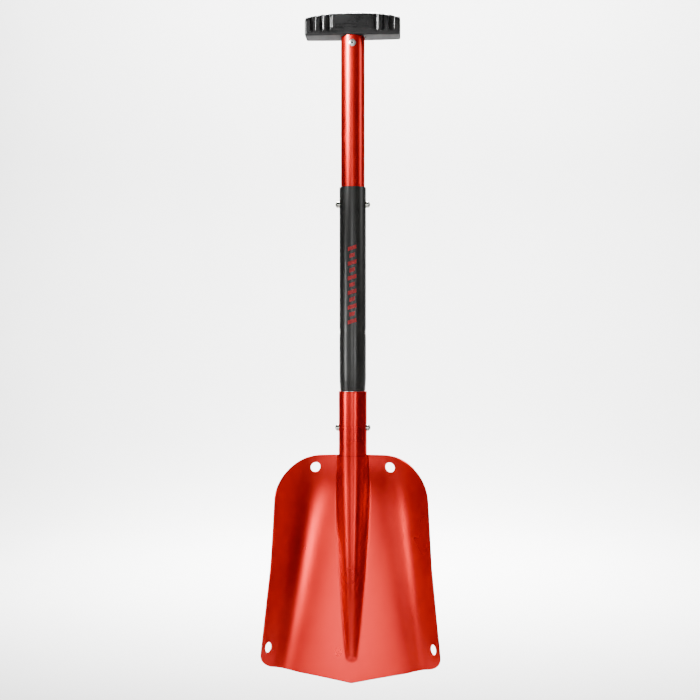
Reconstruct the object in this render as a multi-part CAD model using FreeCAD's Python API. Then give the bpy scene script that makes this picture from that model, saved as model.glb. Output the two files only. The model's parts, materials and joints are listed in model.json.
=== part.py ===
import FreeCAD, Part
import math
import os
from FreeCAD import Vector

# A three-piece snow shovel that comes apart: T-grip shaft, middle shaft and blade.
# +Z runs up the shaft, -Y is the front (the hollow side of the blade), and the origin
# is on the shaft axis at the middle of the grip sleeve. All sizes are in millimetres.

# heights along the shaft
sleeve_top = 121.8
socket_mouth = -121.8
blade_top = -198.0
grip_bottom = 301.8
upper_button_z = 101.4
lower_button_z = -165.6
rivet_z = 292.2
collapse_travel = 152.4

# tubes
upper_r = 14.3
upper_wall = 1.3
upper_tail = 40.0
mid_r = 15.65
mid_bore_r = 14.375
swage_r = 14.75
swage_start = -106.0
swage_end = -118.5
mid_insert = 72.0
sleeve_wall = 0.45
sleeve_end = -121.4
socket_r = 16.9
socket_bore_r = 14.825
socket_chamfer = 0.6

# snap buttons and their springs
button_r = 3.95
button_hole_r = 4.05
sleeve_hole_r = 4.7
button_dome = 1.6
upper_button_reach = 21.1
lower_button_reach = 21.4
strip_width = 8.0
strip_thickness = 0.8
strip_below_button = 7.0
strip_rise = 46.0
strip_apex_r = 4.0
button_tail_r = 2.0

# T-grip
grip_half = 57.0
grip_height = 28.8
grip_end_height = 22.8
grip_depth = 30.0
grip_end_depth = 26.0
grip_corner = 8.0
grip_low_corner = 2.2
grip_plug_r = 12.9
grip_plug_length = 32.0
panel_half = 24.0
panel_height = 18.0
panel_proud = 0.9
bar_x = 32.6
bar_r = 2.9
bar_proud = 0.5
rib_low = 5.5
rib_high = 22.0
pockets = [(36.9, 2.6), (46.6, 7.2)]
pocket_depth = 3.5
panel_low = 6.5
panel_corner = 2.0
groove_heights = (3.2, 6.6)
groove_depth = 0.6
tip_round = 2.0
plug_wall = 3.0
rivet_head_r = 4.4
rivet_head_height = 1.3
rivet_shank_r = 2.4
rivet_bore_r = 1.2
rivet_length = 9.0

# blade: x runs across, t runs down from the top edge
sheet = 2.0
hole_r = 6.0
top_hole = (44.4, 15.0)
bottom_hole = (95.6, 220.5)
ridge_nose = 233.5
wing_slope = 1.3
flank_slope = 2.0
top_flank = 2.0
nose_flank = 0.5
flank_settle = 35.0
tongue_length = 40.0
tongue_start_y = 3.5
blade_outline = [
    (87.3, 0.0, 53.0),
    (94.4, 128.0, 200.0),
    (105.4, 240.8, 17.0),
    (64.0, 253.0, 120.0),
    (0.0, 265.6, 12.0),
]

across = Vector(1, 0, 0)
forward = Vector(0, -1, 0)
up = Vector(0, 0, 1)


def rod(radius, low, high):
    return Part.makeCylinder(radius, high - low, Vector(0, 0, low), up)


def tube(outer, bore, low, high):
    return rod(outer, low, high).cut(rod(bore, low - 1, high + 1))


def turned(profile):
    """A solid of revolution about the shaft axis from (radius, z) points."""
    points = [Vector(r, 0, z) for r, z in profile]
    face = Part.Face(Part.makePolygon(points + points[:1]))
    return face.revolve(Vector(0, 0, 0), up, 360)


def cross_hole(radius, z):
    return Part.makeCylinder(radius, 80, Vector(-40, 0, z), across)


# ---------------------------------------------------------------- blade sheet


def floor_depth(t):
    """Depth of the blade's floor: the top curls forward, the rest lifts towards the tip."""
    return 5.1 - 0.2 * t + 12.0 * math.atan(t / 30.0)


def wing_depth(x, t):
    bend_at = 63.5 + 0.02 * t + 0.00031 * t * t
    softness = 10.0 - 0.016 * t
    past = abs(x) - bend_at
    return wing_slope / 2 * (past + math.sqrt(past * past + 4 * softness * softness))


def dish_depth(x, t):
    return (0.0004 + 0.002 / (1 + (t / 60.0) ** 2)) * x * x


def ridge_shape(t):
    """Crest radius, flank slope and height of the central ridge above the floor at t."""
    share = min(max(t / ridge_nose, 0.0), 1.0)
    crest_r = socket_r - (socket_r - 4.5) * share ** 1.2
    steep = top_flank / (1 + (t / flank_settle) ** 2)
    slope = flank_slope + steep - nose_flank * share ** 4
    crest_depth = -socket_r - 11.3 * share * share * (3 - 2 * share)
    return crest_r, slope, floor_depth(min(max(t, 0.0), ridge_nose)) - crest_depth


def ridge_half(t):
    crest_r, slope, height = ridge_shape(t)
    lean = math.sqrt(1 + slope * slope)
    round_drop = crest_r * (1 - 1 / lean)
    return crest_r * slope / lean + (height - round_drop) / slope + 1.0


def ridge_front(x, t):
    """Front of the central ridge: a round crest, straight flanks and a round nose."""
    crest_r, slope, height = ridge_shape(t)
    reach = math.hypot(x, max(0.0, t - ridge_nose))
    lean = math.sqrt(1 + slope * slope)
    turn_at = crest_r * slope / lean
    if reach < turn_at:
        drop = crest_r - math.sqrt(crest_r * crest_r - reach * reach)
    else:
        drop = crest_r * (1 - 1 / lean) + slope * (reach - turn_at)
    return floor_depth(t) - height + drop


def blend_forward(a, b, width):
    share = min(max(0.5 + 0.5 * (b - a) / width, 0.0), 1.0)
    return b + (a - b) * share - width * share * (1 - share)


def front_depth(x, t):
    scoop = floor_depth(t) - wing_depth(x, t) - dish_depth(x, t)
    return blend_forward(ridge_front(x, t), scoop, 5.0)


def front_point(x, t):
    return Vector(x, front_depth(x, t), blade_top - t)


def front_normal(x, t):
    """Unit normal of the front face, pointing to the front."""
    step = 0.05
    along_x = front_point(x + step, t) - front_point(x - step, t)
    along_t = front_point(x, t + step) - front_point(x, t - step)
    normal = along_x.cross(along_t)
    normal.normalize()
    return normal if normal.y < 0 else normal * -1


def blade_columns(t):
    ridge = ridge_half(min(t, 215.0))
    near = [ridge * k for k in (0.16, 0.32, 0.48, 0.64, 0.8, 0.95, 1.1, 1.3)]
    far = 118.0
    start = near[-1]
    outer = [start + (far - start) * k for k in (0.17, 0.34, 0.48, 0.6, 0.72, 0.85, 1.0)]
    half = near + outer
    return [-x for x in reversed(half)] + [0.0] + half


def blade_face(depth_behind):
    rows = [-14.0 + 7.0 * k for k in range(43)]
    grid = []
    for t in rows:
        line = []
        for x in blade_columns(t):
            line.append(front_point(x, t) - front_normal(x, t) * depth_behind)
        grid.append(line)
    surface = Part.BSplineSurface()
    surface.interpolate(grid)
    return surface.toShape()


def rounded_outline(corners):
    """A closed wire in the XZ plane through (x, t, radius) corners, mirrored about x = 0."""
    right = corners
    left = [(-x, t, r) for x, t, r in reversed(corners) if x > 0]
    loop = right + left
    edges = []
    ends = []
    for n, (x, t, radius) in enumerate(loop):
        here = Vector(x, 0, blade_top - t)
        before = loop[n - 1]
        after = loop[(n + 1) % len(loop)]
        back = Vector(before[0], 0, blade_top - before[1]) - here
        ahead = Vector(after[0], 0, blade_top - after[1]) - here
        back.normalize()
        ahead.normalize()
        half_angle = back.getAngle(ahead) / 2
        run = radius / math.tan(half_angle)
        middle = back + ahead
        middle.normalize()
        centre_at = radius / math.sin(half_angle)
        start = here + back * run
        end = here + ahead * run
        top = here + middle * (centre_at - radius)
        ends.append((start, top, end))
    for n, (start, top, end) in enumerate(ends):
        edges.append(Part.Arc(start, top, end).toShape())
        following = ends[(n + 1) % len(ends)][0]
        if end.distanceToPoint(following) > 1e-6:
            edges.append(Part.makeLine(end, following))
    return Part.Wire(Part.__sortEdges__(edges))


def make_blade():
    front = blade_face(0.0).extrude(Vector(0, 220, 0))
    back = blade_face(sheet).extrude(Vector(0, -220, 0))
    outline = rounded_outline(blade_outline)
    block = Part.Face(outline).extrude(Vector(0, 300, 0))
    block.translate(Vector(0, -150, 0))
    blade = block.common(front).common(back)
    for x, t in (top_hole, bottom_hole):
        for side in (-1, 1):
            centre = front_point(side * x, t)
            normal = front_normal(side * x, t)
            drill = Part.makeCylinder(hole_r, 16, centre + normal * 8, normal * -1)
            blade = blade.cut(drill)
    return blade


def make_socket():
    low = blade_top - tongue_length
    mouth = socket_mouth
    body = turned([
        (socket_bore_r, low),
        (socket_r, low),
        (socket_r, mouth - socket_chamfer),
        (socket_r - socket_chamfer, mouth),
        (socket_bore_r + 0.3, mouth),
        (socket_bore_r, mouth - 0.5),
    ])
    slope = [
        Vector(-30, -30, blade_top),
        Vector(-30, tongue_start_y, blade_top),
        Vector(-30, socket_r + 0.5, low - 1),
        Vector(-30, -30, low - 1),
    ]
    waste = Part.Face(Part.makePolygon(slope + slope[:1])).extrude(Vector(60, 0, 0))
    return body.cut(waste).cut(cross_hole(button_hole_r + 0.05, lower_button_z))


# --------------------------------------------------------------------- shafts


def make_mid_tube():
    bottom = socket_mouth - mid_insert
    swage_wall = mid_r - mid_bore_r
    body = turned([
        (swage_r - swage_wall, bottom),
        (swage_r - 0.5, bottom),
        (swage_r, bottom + 1.0),
        (swage_r, swage_end),
        (mid_r, swage_start),
        (mid_r, sleeve_top),
        (mid_bore_r, sleeve_top),
        (mid_bore_r, swage_start),
        (swage_r - swage_wall, swage_end),
    ])
    for z in (upper_button_z, upper_button_z - collapse_travel, lower_button_z):
        body = body.cut(cross_hole(button_hole_r, z))
    return body


def make_sleeve():
    outer = mid_r + sleeve_wall
    lip = swage_r + 0.35
    end_share = (sleeve_end - swage_start) / (swage_end - swage_start)
    body = turned([
        (mid_r, swage_start),
        (mid_r + (swage_r - mid_r) * min(end_share, 1.0), swage_end),
        (swage_r, sleeve_end),
        (lip, sleeve_end),
        (lip + 0.35, sleeve_end + 1.2),
        (outer - 0.15, swage_start - 3.0),
        (outer, swage_start + 3.0),
        (outer, sleeve_top - 1.0),
        (outer - 0.12, sleeve_top - 0.4),
        (outer - 0.35, sleeve_top),
        (mid_r, sleeve_top),
    ])
    for z in (upper_button_z, upper_button_z - collapse_travel):
        body = body.cut(cross_hole(sleeve_hole_r, z))
    return body


def make_upper_tube():
    bottom = upper_button_z - upper_tail
    body = tube(upper_r, upper_r - upper_wall, bottom, grip_bottom)
    body = body.cut(cross_hole(button_hole_r, upper_button_z))
    rivet_hole = Part.makeCylinder(rivet_shank_r + 0.05, 60, Vector(0, 30, rivet_z), forward)
    return body.cut(rivet_hole)


# --------------------------------------------------------- buttons and springs


def strip_face_x(bore_r):
    """How far out a flat strip can lie in a round bore."""
    return math.sqrt((bore_r - 0.15) ** 2 - (strip_width / 2) ** 2)


def make_button(side, z, bore_r, reach):
    seat = strip_face_x(bore_r)
    shank = Part.makeCylinder(button_r, reach - button_dome - seat, Vector(seat, 0, z), across)
    dome_r = (button_r ** 2 + button_dome ** 2) / (2 * button_dome)
    dome = Part.makeSphere(dome_r, Vector(reach - dome_r, 0, z))
    keep = Part.makeCylinder(button_r, reach, Vector(reach - button_dome, 0, z), across)
    tail_length = strip_thickness + 0.5
    tail = Part.makeCylinder(button_tail_r, tail_length, Vector(seat - tail_length, 0, z), across)
    head_at = Vector(seat - tail_length - 0.6, 0, z)
    head = Part.makeCylinder(button_tail_r + 0.9, 0.8, head_at, across)
    button = shank.fuse(dome.common(keep)).fuse(tail).fuse(head).removeSplitter()
    if side < 0:
        button = button.mirror(Vector(0, 0, 0), across)
    return button


def make_spring(z, bore_r):
    """A spring-steel strip bent to a V: two legs that carry the buttons, closed at the top."""
    out = strip_face_x(bore_r) - strip_thickness / 2
    knee = z + strip_below_button
    apex = z + strip_rise
    lean = math.atan2(out - strip_apex_r, apex - knee)
    apex_x = strip_apex_r * math.cos(lean)
    apex_z = apex + strip_apex_r * math.sin(lean)
    right = [Vector(out, 0, z - strip_below_button), Vector(out, 0, knee)]
    right.append(Vector(apex_x, 0, apex_z))
    left = [Vector(-p.x, 0, p.z) for p in reversed(right)]
    top = Vector(0, 0, apex + strip_apex_r)
    edges = [Part.makeLine(right[0], right[1]), Part.makeLine(right[1], right[2])]
    edges.append(Part.Arc(right[2], top, left[0]).toShape())
    edges += [Part.makeLine(left[0], left[1]), Part.makeLine(left[1], left[2])]
    spine = Part.Wire(edges)
    half = strip_width / 2
    corners = [
        Vector(out - strip_thickness / 2, -half, right[0].z),
        Vector(out + strip_thickness / 2, -half, right[0].z),
        Vector(out + strip_thickness / 2, half, right[0].z),
        Vector(out - strip_thickness / 2, half, right[0].z),
    ]
    section = Part.makePolygon(corners + corners[:1])
    strip = spine.makePipeShell([section], True, False, 1)
    return strip.cut(cross_hole(button_tail_r + 0.05, z))


# --------------------------------------------------------------------- T-grip


def grip_section(x):
    """A rounded rectangle across the grip at x, lower and thinner towards the ends."""
    share = (x / grip_half) ** 2
    height = grip_height + (grip_end_height - grip_height) * share
    half = (grip_depth + (grip_end_depth - grip_depth) * share) / 2
    low, high = grip_bottom, grip_bottom + height
    corners = [(half, low, 1, 1), (half, high, 1, -1), (-half, high, -1, -1), (-half, low, -1, 1)]
    edges = []
    marks = []
    for y, z, side, rise in corners:
        r = grip_low_corner if rise > 0 else grip_corner
        bend = r * (1 - math.sqrt(0.5))
        flank = Vector(x, y, z + rise * r)
        level = Vector(x, y - side * r, z)
        middle = Vector(x, y - side * bend, z + rise * bend)
        order = (level, middle, flank) if side * rise > 0 else (flank, middle, level)
        marks.append(order)
    for n, (start, middle, end) in enumerate(marks):
        edges.append(Part.Arc(start, middle, end).toShape())
        edges.append(Part.makeLine(end, marks[(n + 1) % 4][0]))
    return Part.Wire(edges)


def grip_panel():
    """The raised front panel with its two fine grooves."""
    low = grip_bottom + panel_low
    panel = Part.makeBox(2 * panel_half, panel_proud + 2, panel_height)
    panel.translate(Vector(-panel_half, -grip_depth / 2 - panel_proud, low))
    uprights = [e for e in panel.Edges if abs(e.tangentAt(e.FirstParameter).y) > 0.9]
    panel = panel.makeFillet(panel_corner, uprights)
    for height in groove_heights:
        groove = Part.makeBox(2 * panel_half - 8, groove_depth, 1.0)
        groove.translate(Vector(4 - panel_half, -grip_depth / 2 - panel_proud, low + height))
        panel = panel.cut(groove)
    return panel


def grip_bar(end):
    bar = rod(bar_r, grip_bottom + rib_low, grip_bottom + rib_high)
    bar.translate(Vector(end * bar_x, bar_r - bar_proud - grip_depth / 2, 0))
    return bar


def grip_pocket(x, width):
    """A rounded recess in the front face at x."""
    deep = Part.makeBox(width, pocket_depth * 2, rib_high - rib_low)
    deep.translate(Vector(-width / 2, -pocket_depth, 0))
    rims = [e for e in deep.Edges if abs(e.tangentAt(e.FirstParameter).y) > 0.9]
    deep = deep.makeFillet(width / 3, rims)
    thinner = (grip_depth - grip_end_depth) / 2 * (x / grip_half) ** 2
    deep.translate(Vector(x, thinner - grip_depth / 2, grip_bottom + rib_low))
    return deep


def make_grip():
    stations = [grip_half * k / 4 for k in range(-4, 5)]
    body = Part.makeLoft([grip_section(x) for x in stations], True, False)
    tips = [e for e in body.Edges if abs(abs(e.CenterOfMass.x) - grip_half) < 0.5]
    body = body.makeFillet(tip_round, tips)
    proud = [grip_panel(), grip_bar(-1), grip_bar(1)]
    hollows = [grip_pocket(end * x, width) for end in (-1, 1) for x, width in pockets]
    for piece in proud:
        body = body.fuse(piece).fuse(piece.mirror(Vector(0, 0, 0), forward))
    for hollow in hollows:
        body = body.cut(hollow).cut(hollow.mirror(Vector(0, 0, 0), forward))
    plug = rod(grip_plug_r, grip_bottom - grip_plug_length, grip_bottom + 1)
    plug_bore = rod(grip_plug_r - plug_wall, grip_bottom - grip_plug_length - 1, grip_bottom - 4)
    rivet_hole = Part.makeCylinder(rivet_shank_r + 0.05, 60, Vector(0, 30, rivet_z), forward)
    return body.fuse(plug.cut(plug_bore).cut(rivet_hole)).removeSplitter()


def make_rivet(side):
    """A blind rivet: domed head on the tube, hollow shank through tube and plug."""
    head_at = upper_r - 1.0
    top = upper_r + rivet_head_height
    head_r = rivet_head_r
    dome_r = (head_r ** 2 + rivet_head_height ** 2) / (2 * rivet_head_height)
    dome = Part.makeSphere(dome_r, Vector(0, -(top - dome_r), rivet_z))
    column = Part.makeCylinder(head_r, top - head_at + 1, Vector(0, -head_at, rivet_z), forward)
    head = dome.common(column).cut(rod(upper_r + 0.01, rivet_z - 20, rivet_z + 20))
    shank = Part.makeCylinder(
        rivet_shank_r, rivet_length, Vector(0, rivet_length - upper_r - 0.3, rivet_z), forward)
    bore = Part.makeCylinder(rivet_bore_r, 40, Vector(0, 0, rivet_z), forward)
    rivet = head.fuse(shank).cut(bore).removeSplitter()
    if side > 0:
        rivet = rivet.mirror(Vector(0, 0, 0), Vector(0, 1, 0))
    return rivet


def make_mandrel(side):
    inner = upper_r - rivet_length
    stem = Part.makeCylinder(rivet_bore_r - 0.05, rivet_length - 1.5, Vector(0, -inner, rivet_z), forward)
    bulb = Part.makeSphere(rivet_shank_r - 0.2, Vector(0, -inner + 1.6, rivet_z))
    behind = Part.makeCylinder(6, 8, Vector(0, -inner + 7.7, rivet_z), forward)
    mandrel = stem.fuse(bulb.common(behind)).removeSplitter()
    if side > 0:
        mandrel = mandrel.mirror(Vector(0, 0, 0), Vector(0, 1, 0))
    return mandrel


def write(name, *solids):
    shape = solids[0] if len(solids) == 1 else Part.makeCompound(list(solids))
    bounds = shape.BoundBox
    print("%-20s solids %d valid %s volume %9.1f  x %7.1f %7.1f  y %7.1f %7.1f  z %7.1f %7.1f" % (
        name, len(shape.Solids), shape.isValid(), shape.Volume, bounds.XMin, bounds.XMax,
        bounds.YMin, bounds.YMax, bounds.ZMin, bounds.ZMax))
    shape.exportStep("parts/%s.step" % name)


os.makedirs("parts", exist_ok=True)
upper_bore = upper_r - upper_wall
lower_bore = swage_r - (mid_r - mid_bore_r)
write("t_grip", make_grip())
write("handle_rivets", make_rivet(-1), make_rivet(1))
write("rivet_mandrels", make_mandrel(-1), make_mandrel(1))
write("upper_tube", make_upper_tube())
write("upper_spring", make_spring(upper_button_z, upper_bore))
write("mid_tube", make_mid_tube())
write("grip_sleeve", make_sleeve())
write("lower_spring", make_spring(lower_button_z, lower_bore))
for side, name in ((-1, "left"), (1, "right")):
    write("upper_button_" + name, make_button(side, upper_button_z, upper_bore, upper_button_reach))
    write("lower_button_" + name, make_button(side, lower_button_z, lower_bore, lower_button_reach))
write("blade_socket", make_socket())
write("blade", make_blade())
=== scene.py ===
import json
import math
import bmesh
import bpy
from mathutils import Matrix, Vector, kdtree


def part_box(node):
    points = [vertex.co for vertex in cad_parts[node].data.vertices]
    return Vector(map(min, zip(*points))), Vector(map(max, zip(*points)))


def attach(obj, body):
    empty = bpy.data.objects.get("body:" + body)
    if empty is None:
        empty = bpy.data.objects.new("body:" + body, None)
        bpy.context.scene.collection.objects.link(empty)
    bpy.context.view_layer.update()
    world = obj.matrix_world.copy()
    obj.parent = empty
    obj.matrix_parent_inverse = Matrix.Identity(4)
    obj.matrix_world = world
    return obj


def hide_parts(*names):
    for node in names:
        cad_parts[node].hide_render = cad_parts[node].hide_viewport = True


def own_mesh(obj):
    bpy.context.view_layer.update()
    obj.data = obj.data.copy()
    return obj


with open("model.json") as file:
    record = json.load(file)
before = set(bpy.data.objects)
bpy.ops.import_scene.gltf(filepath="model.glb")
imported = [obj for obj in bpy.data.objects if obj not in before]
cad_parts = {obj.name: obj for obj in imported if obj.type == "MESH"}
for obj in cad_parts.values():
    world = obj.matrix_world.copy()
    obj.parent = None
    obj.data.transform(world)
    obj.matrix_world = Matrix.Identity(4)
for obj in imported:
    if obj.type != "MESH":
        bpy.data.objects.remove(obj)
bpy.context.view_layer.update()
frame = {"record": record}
record = frame["record"]
mounts = {m["name"]: m for m in record["mounts"]}

millimetre = 0.001
shaftAxis = Vector((0, 0, 1))

# sizes that several pieces share
shaft = {
    "upperRadius": 0.0143,
    "upperWall": 0.0013,
    "midRadius": 0.01565,
    "midBore": 0.014375,
    "neckRadius": 0.01475,
    "sleeveRadius": 0.0161,
    "socketRadius": 0.0169,
    "socketBore": 0.014825,
    "upperButton": 0.1014,
    "shortButton": -0.051,
    "lowerButton": -0.1656,
    "buttonHole": 0.00405,
    "slip": 0.00005,
    "drillLength": 0.08,
    "turnSteps": 112,
}


def addPiece(name, vertices, faces):
    mesh = bpy.data.meshes.new(name)
    mesh.from_pydata([tuple(v) for v in vertices], [], faces)
    piece = bpy.data.objects.new(name, mesh)
    bpy.context.scene.collection.objects.link(piece)
    return piece


def openMesh(piece):
    mesh = bmesh.new()
    mesh.from_mesh(piece.data)
    return mesh


def closeMesh(mesh, piece):
    mesh.to_mesh(piece.data)
    mesh.free()
    return piece


def tidyShell(piece, apart=1e-6):
    # joins doubled points, then turns every face outwards
    mesh = openMesh(piece)
    bmesh.ops.remove_doubles(mesh, verts=mesh.verts, dist=apart)
    bmesh.ops.dissolve_degenerate(mesh, edges=mesh.edges, dist=apart)
    bmesh.ops.recalc_face_normals(mesh, faces=mesh.faces)
    return closeMesh(mesh, piece)


def settle(piece):
    # the live modifiers become a plain mesh
    graph = bpy.context.evaluated_depsgraph_get()
    graph.update()
    made = bpy.data.meshes.new_from_object(piece.evaluated_get(graph))
    piece.modifiers.clear()
    piece.data = made
    made.name = piece.name
    return piece


def combine(piece, other, operation="DIFFERENCE"):
    cut = piece.modifiers.new("cut", "BOOLEAN")
    cut.operation = operation
    cut.solver = "EXACT"
    cut.object = other
    settle(piece)
    bpy.data.objects.remove(other)
    return piece


def softenEdges(piece, width, segments=2, sharper=35, skip=None):
    # rounds every edge that turns by more than "sharper" degrees
    mesh = openMesh(piece)
    limit = math.radians(sharper)
    edges = [
        e for e in mesh.edges
        if len(e.link_faces) == 2 and e.calc_face_angle(0) > limit and not (skip and skip(e))
    ]
    bmesh.ops.bevel(mesh, geom=edges, offset=width, segments=segments, profile=0.5,
                    affect="EDGES", clamp_overlap=False)
    return closeMesh(mesh, piece)


def polish(piece, sharper=40):
    # smooth shading that keeps the broad faces true
    piece.data.shade_smooth()
    piece.data.set_sharp_from_angle(angle=math.radians(sharper))
    weighted = piece.modifiers.new("normals", "WEIGHTED_NORMAL")
    weighted.keep_sharp = True
    weighted.mode = "FACE_AREA"
    return settle(piece)


def filleted(corners, closed=True):
    # corners are (across, along, radius); each becomes a small curve
    line = []
    for n, (across, along, radius) in enumerate(corners):
        here = Vector((across, along))
        if radius <= 0 or (not closed and n in (0, len(corners) - 1)):
            line.append(here)
            continue
        back = Vector(corners[n - 1][:2]) - here
        ahead = Vector(corners[(n + 1) % len(corners)][:2]) - here
        run = radius / math.tan(back.angle(ahead) / 2)
        run = min(run, back.length * 0.49, ahead.length * 0.49)
        start = here + back.normalized() * run
        end = here + ahead.normalized() * run
        for k in range(5):
            s = k / 4
            line.append(start * (1 - s) ** 2 + here * 2 * s * (1 - s) + end * s * s)
    return line


def turned(name, corners, closed=True, about=shaftAxis, steps=None):
    # a profile of (radius, height, corner radius) turned about a line through the origin
    line = filleted(corners, closed)
    steps = steps or shaft["turnSteps"]
    spin = shaftAxis.rotation_difference(about).to_matrix()
    vertices, faces = [], []
    count = len(line)
    for k in range(steps):
        angle = 2 * math.pi * k / steps
        for point in line:
            vertices.append(spin @ Vector((point.x * math.cos(angle), point.x * math.sin(angle), point.y)))
    for k in range(steps):
        for n in range(count if closed else count - 1):
            a, b = k * count + n, k * count + (n + 1) % count
            c, d = (k + 1) % steps * count + (n + 1) % count, (k + 1) % steps * count + n
            faces.append((a, b, c, d))
    return tidyShell(addPiece(name, vertices, faces))


def rodAlong(axis, centre, radius, length, steps=56):
    half = length / 2
    rod = turned("rod", [(0, -half, 0), (radius, -half, 0), (radius, half, 0), (0, half, 0)],
                 closed=False, about=axis, steps=steps)
    rod.data.transform(Matrix.Translation(centre))
    return rod


def drillAcross(piece, radius, heights, axis=Vector((1, 0, 0))):
    for height in heights:
        combine(piece, rodAlong(axis, Vector((0, 0, height)), radius, shaft["drillLength"]))
    return piece


def ringsNear(heights, radius, reach=0.008):
    # extra profile points, so that a drilled hole only touches short faces
    return [(radius, h + side * reach, 0) for h in heights for side in (-1, 1)]


finishSockets = {
    "base": "Base Color", "metallic": "Metallic", "roughness": "Roughness", "coat": "Coat Weight",
    "coatRoughness": "Coat Roughness", "sheen": "Sheen Weight", "sheenRoughness": "Sheen Roughness",
    "specular": "Specular IOR Level", "edgeTint": "Specular Tint",
}


class Finish:
    # one material and its nodes, read in the object's own coordinates
    def __init__(self, name, **values):
        self.material = bpy.data.materials.new(name)
        self.material.use_nodes = True
        self.tree = self.material.node_tree
        self.shader = self.tree.nodes["Principled BSDF"]
        for key, value in values.items():
            socket = self.shader.inputs[finishSockets[key]]
            socket.default_value = (*value, 1) if isinstance(value, tuple) else value
        self.place = self.add("ShaderNodeTexCoord").outputs["Object"]

    def add(self, kind, inputs=(), **settings):
        node = self.tree.nodes.new(kind)
        for key, value in settings.items():
            setattr(node, key, value)
        for key, value in inputs:
            self.feed(node.inputs[key], value)
        return node

    def feed(self, socket, value):
        if isinstance(value, bpy.types.NodeSocket):
            self.tree.links.new(value, socket)
        else:
            socket.default_value = value

    def stretched(self, stretch):
        return self.add("ShaderNodeMapping", (("Vector", self.place), ("Scale", stretch))).outputs["Vector"]

    def noise(self, scale, stretch=(1, 1, 1), detail=3.0, rough=0.55):
        inputs = (("Vector", self.stretched(stretch)), ("Scale", scale),
                  ("Detail", detail), ("Roughness", rough))
        return self.add("ShaderNodeTexNoise", inputs).outputs["Fac"]

    def grain(self, scale, stretch=(1, 1, 1)):
        inputs = (("Vector", self.stretched(stretch)), ("Scale", scale))
        return self.add("ShaderNodeTexVoronoi", inputs, feature="F1").outputs["Distance"]

    def height(self):
        return self.add("ShaderNodeSeparateXYZ", ((0, self.place),)).outputs["Z"]

    def attribute(self, name):
        return self.add("ShaderNodeAttribute", attribute_name=name).outputs["Fac"]

    def colours(self, factor, *stops):
        ramp = self.add("ShaderNodeValToRGB", (("Fac", factor),))
        for element, (at, colour) in zip(ramp.color_ramp.elements, stops):
            element.position = at
            element.color = (*colour, 1)
        return ramp.outputs["Color"]

    def spread(self, factor, low, high, start=0.3, end=0.7):
        names = ("Value", "From Min", "From Max", "To Min", "To Max")
        return self.add("ShaderNodeMapRange", zip(names, (factor, start, end, low, high))).outputs["Result"]

    def maths(self, operation, a, b):
        return self.add("ShaderNodeMath", enumerate((a, b)), operation=operation).outputs[0]

    def mixed(self, factor, low, high):
        inputs = (("Factor", factor), (6, low), (7, (*high, 1)))   # 6 and 7 are its colours
        return self.add("ShaderNodeMix", inputs, data_type="RGBA").outputs[2]

    def bump(self, height, distance, strength=1.0, after=None):
        inputs = [("Height", height), ("Distance", distance), ("Strength", strength)]
        if after is not None:
            inputs.append(("Normal", after))
        return self.add("ShaderNodeBump", inputs).outputs["Normal"]

    def wear(self, **sockets):
        for key, value in sockets.items():
            name = "Normal" if key == "normal" else finishSockets[key]
            self.feed(self.shader.inputs[name], value)
        return self.material


def redBladeFinish():
    # red anodised pressed sheet: soft clouds, and painted shade that turns the colour dark red near the rim
    # and at the socket's mouth
    # the third colour is painted shade: a dark red laid along the rim for the shade on the sheet's edge
    look = {"deep": (0.63, 0.010, 0.010), "bright": (0.71, 0.013, 0.011), "rubAndRimShade": (0.36, 0.006, 0.007)}
    paint = Finish("redBladeSheet", metallic=0.93, coat=0.15, coatRoughness=0.2, edgeTint=(0.9, 0.12, 0.08))
    clouds = paint.noise(14.0, detail=2.0)
    base = paint.colours(clouds, (0.32, look["deep"]), (0.68, look["bright"]))
    # painted shade: the colour turns towards the dark red close to the rim
    rim = paint.spread(paint.attribute("rimShadeShare"), 0.0, 0.75, 0.80, 1.0)
    base = paint.mixed(rim, base, look["rubAndRimShade"])
    rough = paint.spread(clouds, 0.27, 0.31)
    return paint.wear(base=base, roughness=rough)


def redTubeFinish():
    # the same dye on drawn tube, clouded along the shaft
    paint = Finish("redDrawnTube", metallic=0.93, coat=0.12, coatRoughness=0.2, edgeTint=(0.9, 0.12, 0.08))
    clouds = paint.noise(22.0, stretch=(1, 1, 0.6), detail=2.0)
    base = paint.colours(clouds, (0.3, (0.62, 0.010, 0.009)), (0.7, (0.72, 0.013, 0.010)))
    return paint.wear(base=base, roughness=paint.spread(clouds, 0.33, 0.38))


def gripFinish():
    # moulded black nylon: spark-eroded grain with smoother handled patches
    paint = Finish("blackNylon", specular=0.34)
    grain = paint.noise(2600.0, detail=2.0, rough=0.6)
    handled = paint.noise(60.0, detail=3.0)
    base = paint.colours(handled, (0.3, (0.004, 0.004, 0.004)), (0.7, (0.009, 0.009, 0.009)))
    rough = paint.maths("ADD", paint.spread(handled, 0.24, 0.34), paint.spread(grain, -0.04, 0.05))
    under = paint.spread(paint.height(), 0.5, 0.0, 0.3021, 0.3042)
    rough = paint.maths("ADD", rough, under)
    normal = paint.bump(grain, 0.00006, 0.55)
    normal = paint.bump(paint.noise(160.0, detail=2.0), 0.0001, 0.4, normal)
    return paint.wear(base=base, roughness=rough, normal=normal)


def sleeveFinish():
    # shrunk-on satin sleeve: faint lengthwise pull and a leathery pore
    paint = Finish("shrinkSleeve", specular=0.5, sheen=0.02, sheenRoughness=0.4)
    pull = paint.noise(130.0, stretch=(1, 1, 0.08), detail=3.0)
    pores = paint.grain(1500.0, stretch=(1, 1, 0.7))
    dust = paint.noise(45.0, detail=4.0)
    base = paint.colours(dust, (0.3, (0.008, 0.008, 0.007)), (0.75, (0.015, 0.0145, 0.012)))
    rough = paint.maths("ADD", paint.spread(dust, 0.30, 0.38), paint.spread(pull, -0.03, 0.03))
    normal = paint.bump(pull, 0.00003, 0.3)
    normal = paint.bump(pores, 0.00003, 0.25, normal)
    return paint.wear(base=base, roughness=rough, normal=normal)


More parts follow.
